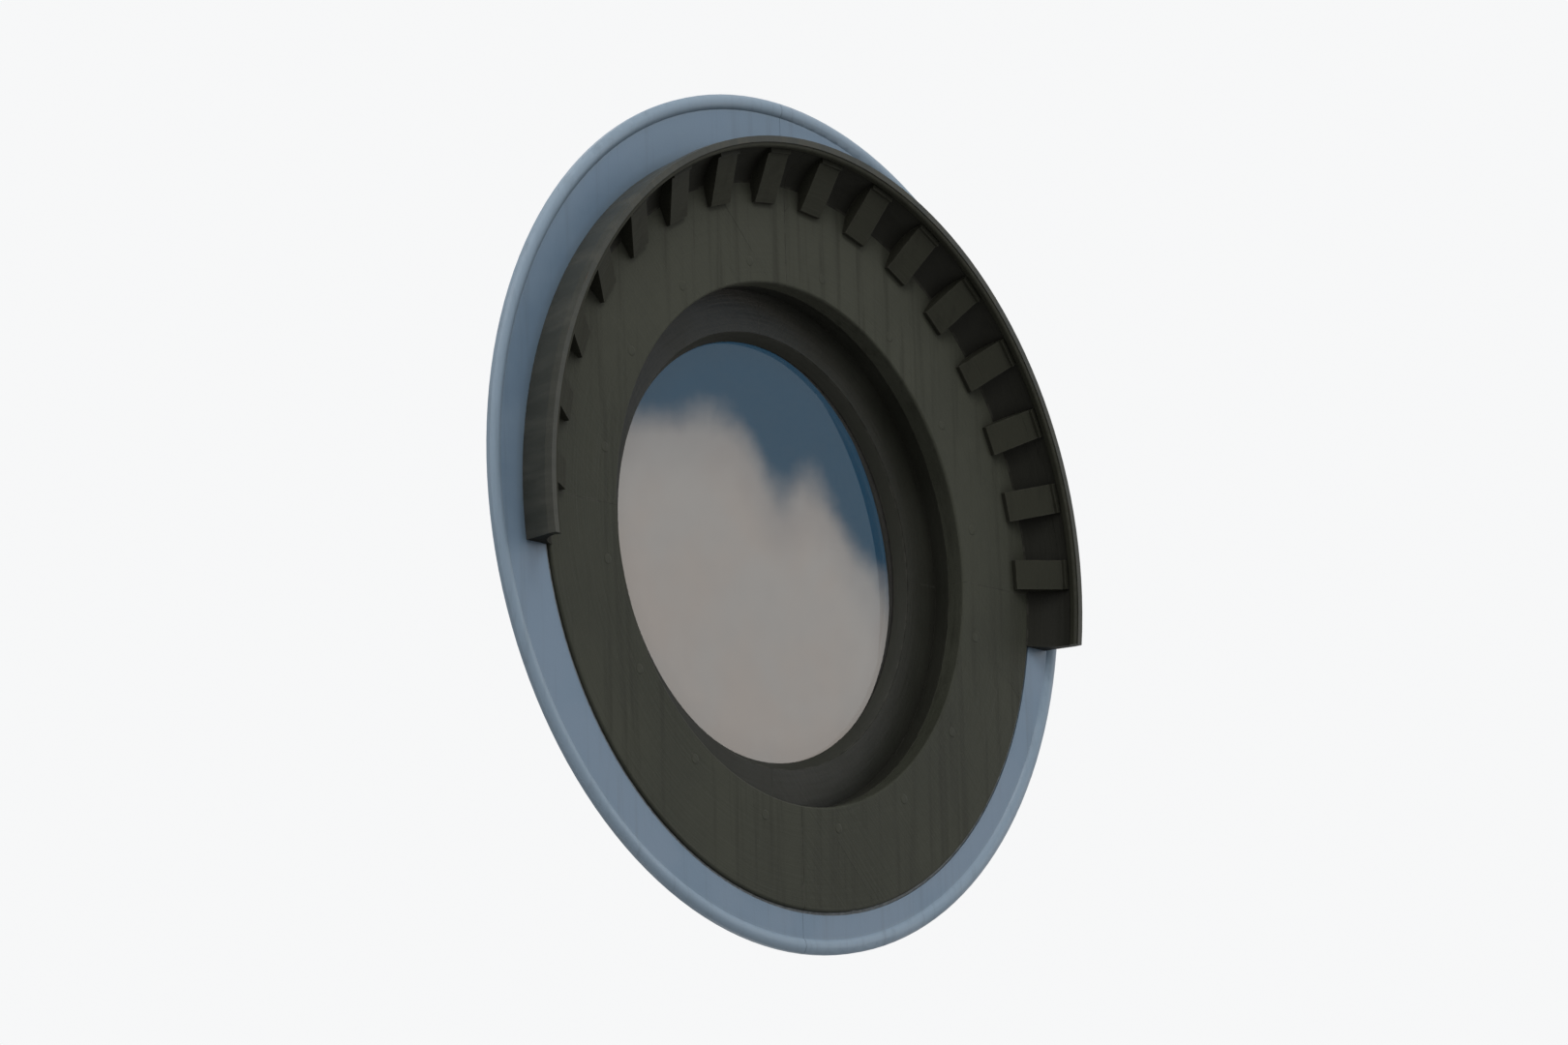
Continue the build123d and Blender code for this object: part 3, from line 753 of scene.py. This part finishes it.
def makeFloor(look):
    floorPaint, tree, shader = startMaterial("floorPaint", Base_Color=look["floorColour"],
                                             Roughness=look["floorRough"])
    glow = addNode(tree, "Emission", Color=look["backdrop"])
    paleShare = times(tree, seenPlainly(tree), look["floorPale"])
    pale = mixShader(tree, paleShare, shader.outputs[0], glow.outputs[0])
    behind = addNode(tree, "NewGeometry").outputs["Backfacing"]      # open from below
    clear = addNode(tree, "BsdfTransparent")
    showShader(tree, mixShader(tree, behind, pale, clear.outputs[0]))
    half = look["floorSize"] / 2
    middle = Vector((0, 0, -look["floorDrop"]))
    quad("floor", middle, Vector((half, 0, 0)), Vector((0, half, 0)), floorPaint)


# The room is plain to the eye, and lights the window as a dome that is brighter above.
def makeRoom(look):
    world = bpy.data.worlds.new("paleRoom")
    world.use_nodes = True
    scene.world = world
    tree = world.node_tree
    back = tree.nodes["Background"]
    feed(tree, back.inputs["Color"], look["backdrop"])
    way = addNode(tree, "SeparateXYZ", Vector=addNode(tree, "TexCoord").outputs["Generated"])
    dome = span(tree, way.outputs[2], look["domeFrom"], look["domeTo"], look["domeLow"], look["domeHigh"])
    strength = addNode(tree, "Mix", {"data_type": "FLOAT"})
    feed(tree, strength.inputs[0], seenPlainly(tree))
    feed(tree, strength.inputs[2], dome)     # 2 and 3 are the number sockets
    feed(tree, strength.inputs[3], look["roomPale"])
    tree.links.new(strength.outputs[0], back.inputs["Strength"])


def makeLamps(look):
    for name, spot, size, power in look["lamps"]:
        lamp = bpy.data.lights.new(name, "AREA")
        lamp.shape = "DISK"
        lamp.size = size
        lamp.energy = power
        made = bpy.data.objects.new(name, lamp)
        made.location = spot
        made.rotation_euler = (-Vector(spot)).to_track_quat("-Z", "Y").to_euler()
        scene.collection.objects.link(made)


makeFloor(studio)
makeRoom(studio)
makeLamps(studio)


# Sky card: what the pane mirrors at the photograph's angle, cloud below and blue above.
# It stands where the mirrored line of sight goes, and only glossy rays see it.
# Places on it are in halves of the mirrored pane, from -1 to 1 across and up.

skyCard = {
    "distance": 4.0, "halfWidth": 0.9, "halfHeight": 0.9, "paneHalf": (0.212, 0.325),
    "cloud": (2.26, 2.03, 1.86), "cloudShade": (2.20, 2.08, 1.97), "blue": (0.07, 0.345, 0.655),
    "puffNoise": (1.7, 5.0, 0.55), "puffMiddle": 0.5, "puffRange": (0.35, 0.65), "puffHeight": 0.42,
    "edge": 0.66, "edgeSoft": 0.13,
    "notchPlace": 0.17, "notchWidth": 0.2, "notchDepth": 0.20,
    "farSlope": (0.28, 1.0), "farDrop": 0.72, "nearSlope": (-0.2, 0.3), "nearDrop": 0.20,
    "veilFrom": -0.45, "veilShare": 0.22,
}


# Gives the height of the cloud's edge, which slopes down to the right and has a notch.
def cloudEdge(tree, look, across, puffs):
    fromNotch = calc(tree, "DIVIDE", minus(tree, across, look["notchPlace"]), look["notchWidth"])
    squared = calc(tree, "POWER", calc(tree, "ABSOLUTE", fromNotch), 2.0)
    notch = calc(tree, "POWER", math.e, times(tree, squared, -1.0))
    slope = plus(tree, times(tree, span(tree, across, *look["farSlope"]), look["farDrop"]),
                 times(tree, span(tree, across, *look["nearSlope"]), look["nearDrop"]))
    edge = minus(tree, minus(tree, look["edge"], times(tree, notch, look["notchDepth"])), slope)
    swell = times(tree, minus(tree, puffs, look["puffMiddle"]), look["puffHeight"])
    return plus(tree, edge, swell)


def makeSkyCard(look):
    spot = Vector(cameraPlace["spot"])
    centre = Vector((0, ring["paneFace"], 0))
    sight = (centre - spot).normalized()
    away = Vector((sight.x, -sight.y, sight.z))
    right = Vector((-away.y, away.x, 0)).normalized()
    up = right.cross(away)
    if up.z < 0:
        up = -up
    middle = centre + away * look["distance"]
    material = bpy.data.materials.new("skyCardLight")
    material.use_nodes = True
    tree = material.node_tree
    tree.nodes.remove(tree.nodes["Principled BSDF"])
    shift = vectorMath(tree, "SUBTRACT", addNode(tree, "TexCoord").outputs["Object"], middle).outputs[0]
    across, rise = [vectorMath(tree, "DOT_PRODUCT", shift, axis / half).outputs["Value"]
                    for axis, half in zip((right, up), look["paneHalf"])]
    puffs = cloud(tree, vectorOf(tree, across, rise, 0.0), *look["puffNoise"])
    overEdge = minus(tree, rise, cloudEdge(tree, look, across, puffs))
    sky = span(tree, overEdge, -look["edgeSoft"], look["edgeSoft"])
    white = mixColour(tree, span(tree, puffs, *look["puffRange"]), look["cloud"], look["cloudShade"])
    veil = times(tree, span(tree, overEdge, look["veilFrom"], 0.0), look["veilShare"])
    white = mixColour(tree, veil, white, look["blue"])
    light = addNode(tree, "Emission", Color=mixColour(tree, sky, white, look["blue"]))
    clear = addNode(tree, "BsdfTransparent")
    mirrored = addNode(tree, "LightPath").outputs["Is Glossy Ray"]
    showShader(tree, mixShader(tree, mirrored, clear.outputs[0], light.outputs[0]))
    quad("skyCard", middle, right * look["halfWidth"], up * look["halfHeight"], material)


makeSkyCard(skyCard)
print("studio ready")

scene.view_settings.view_transform = "Standard"
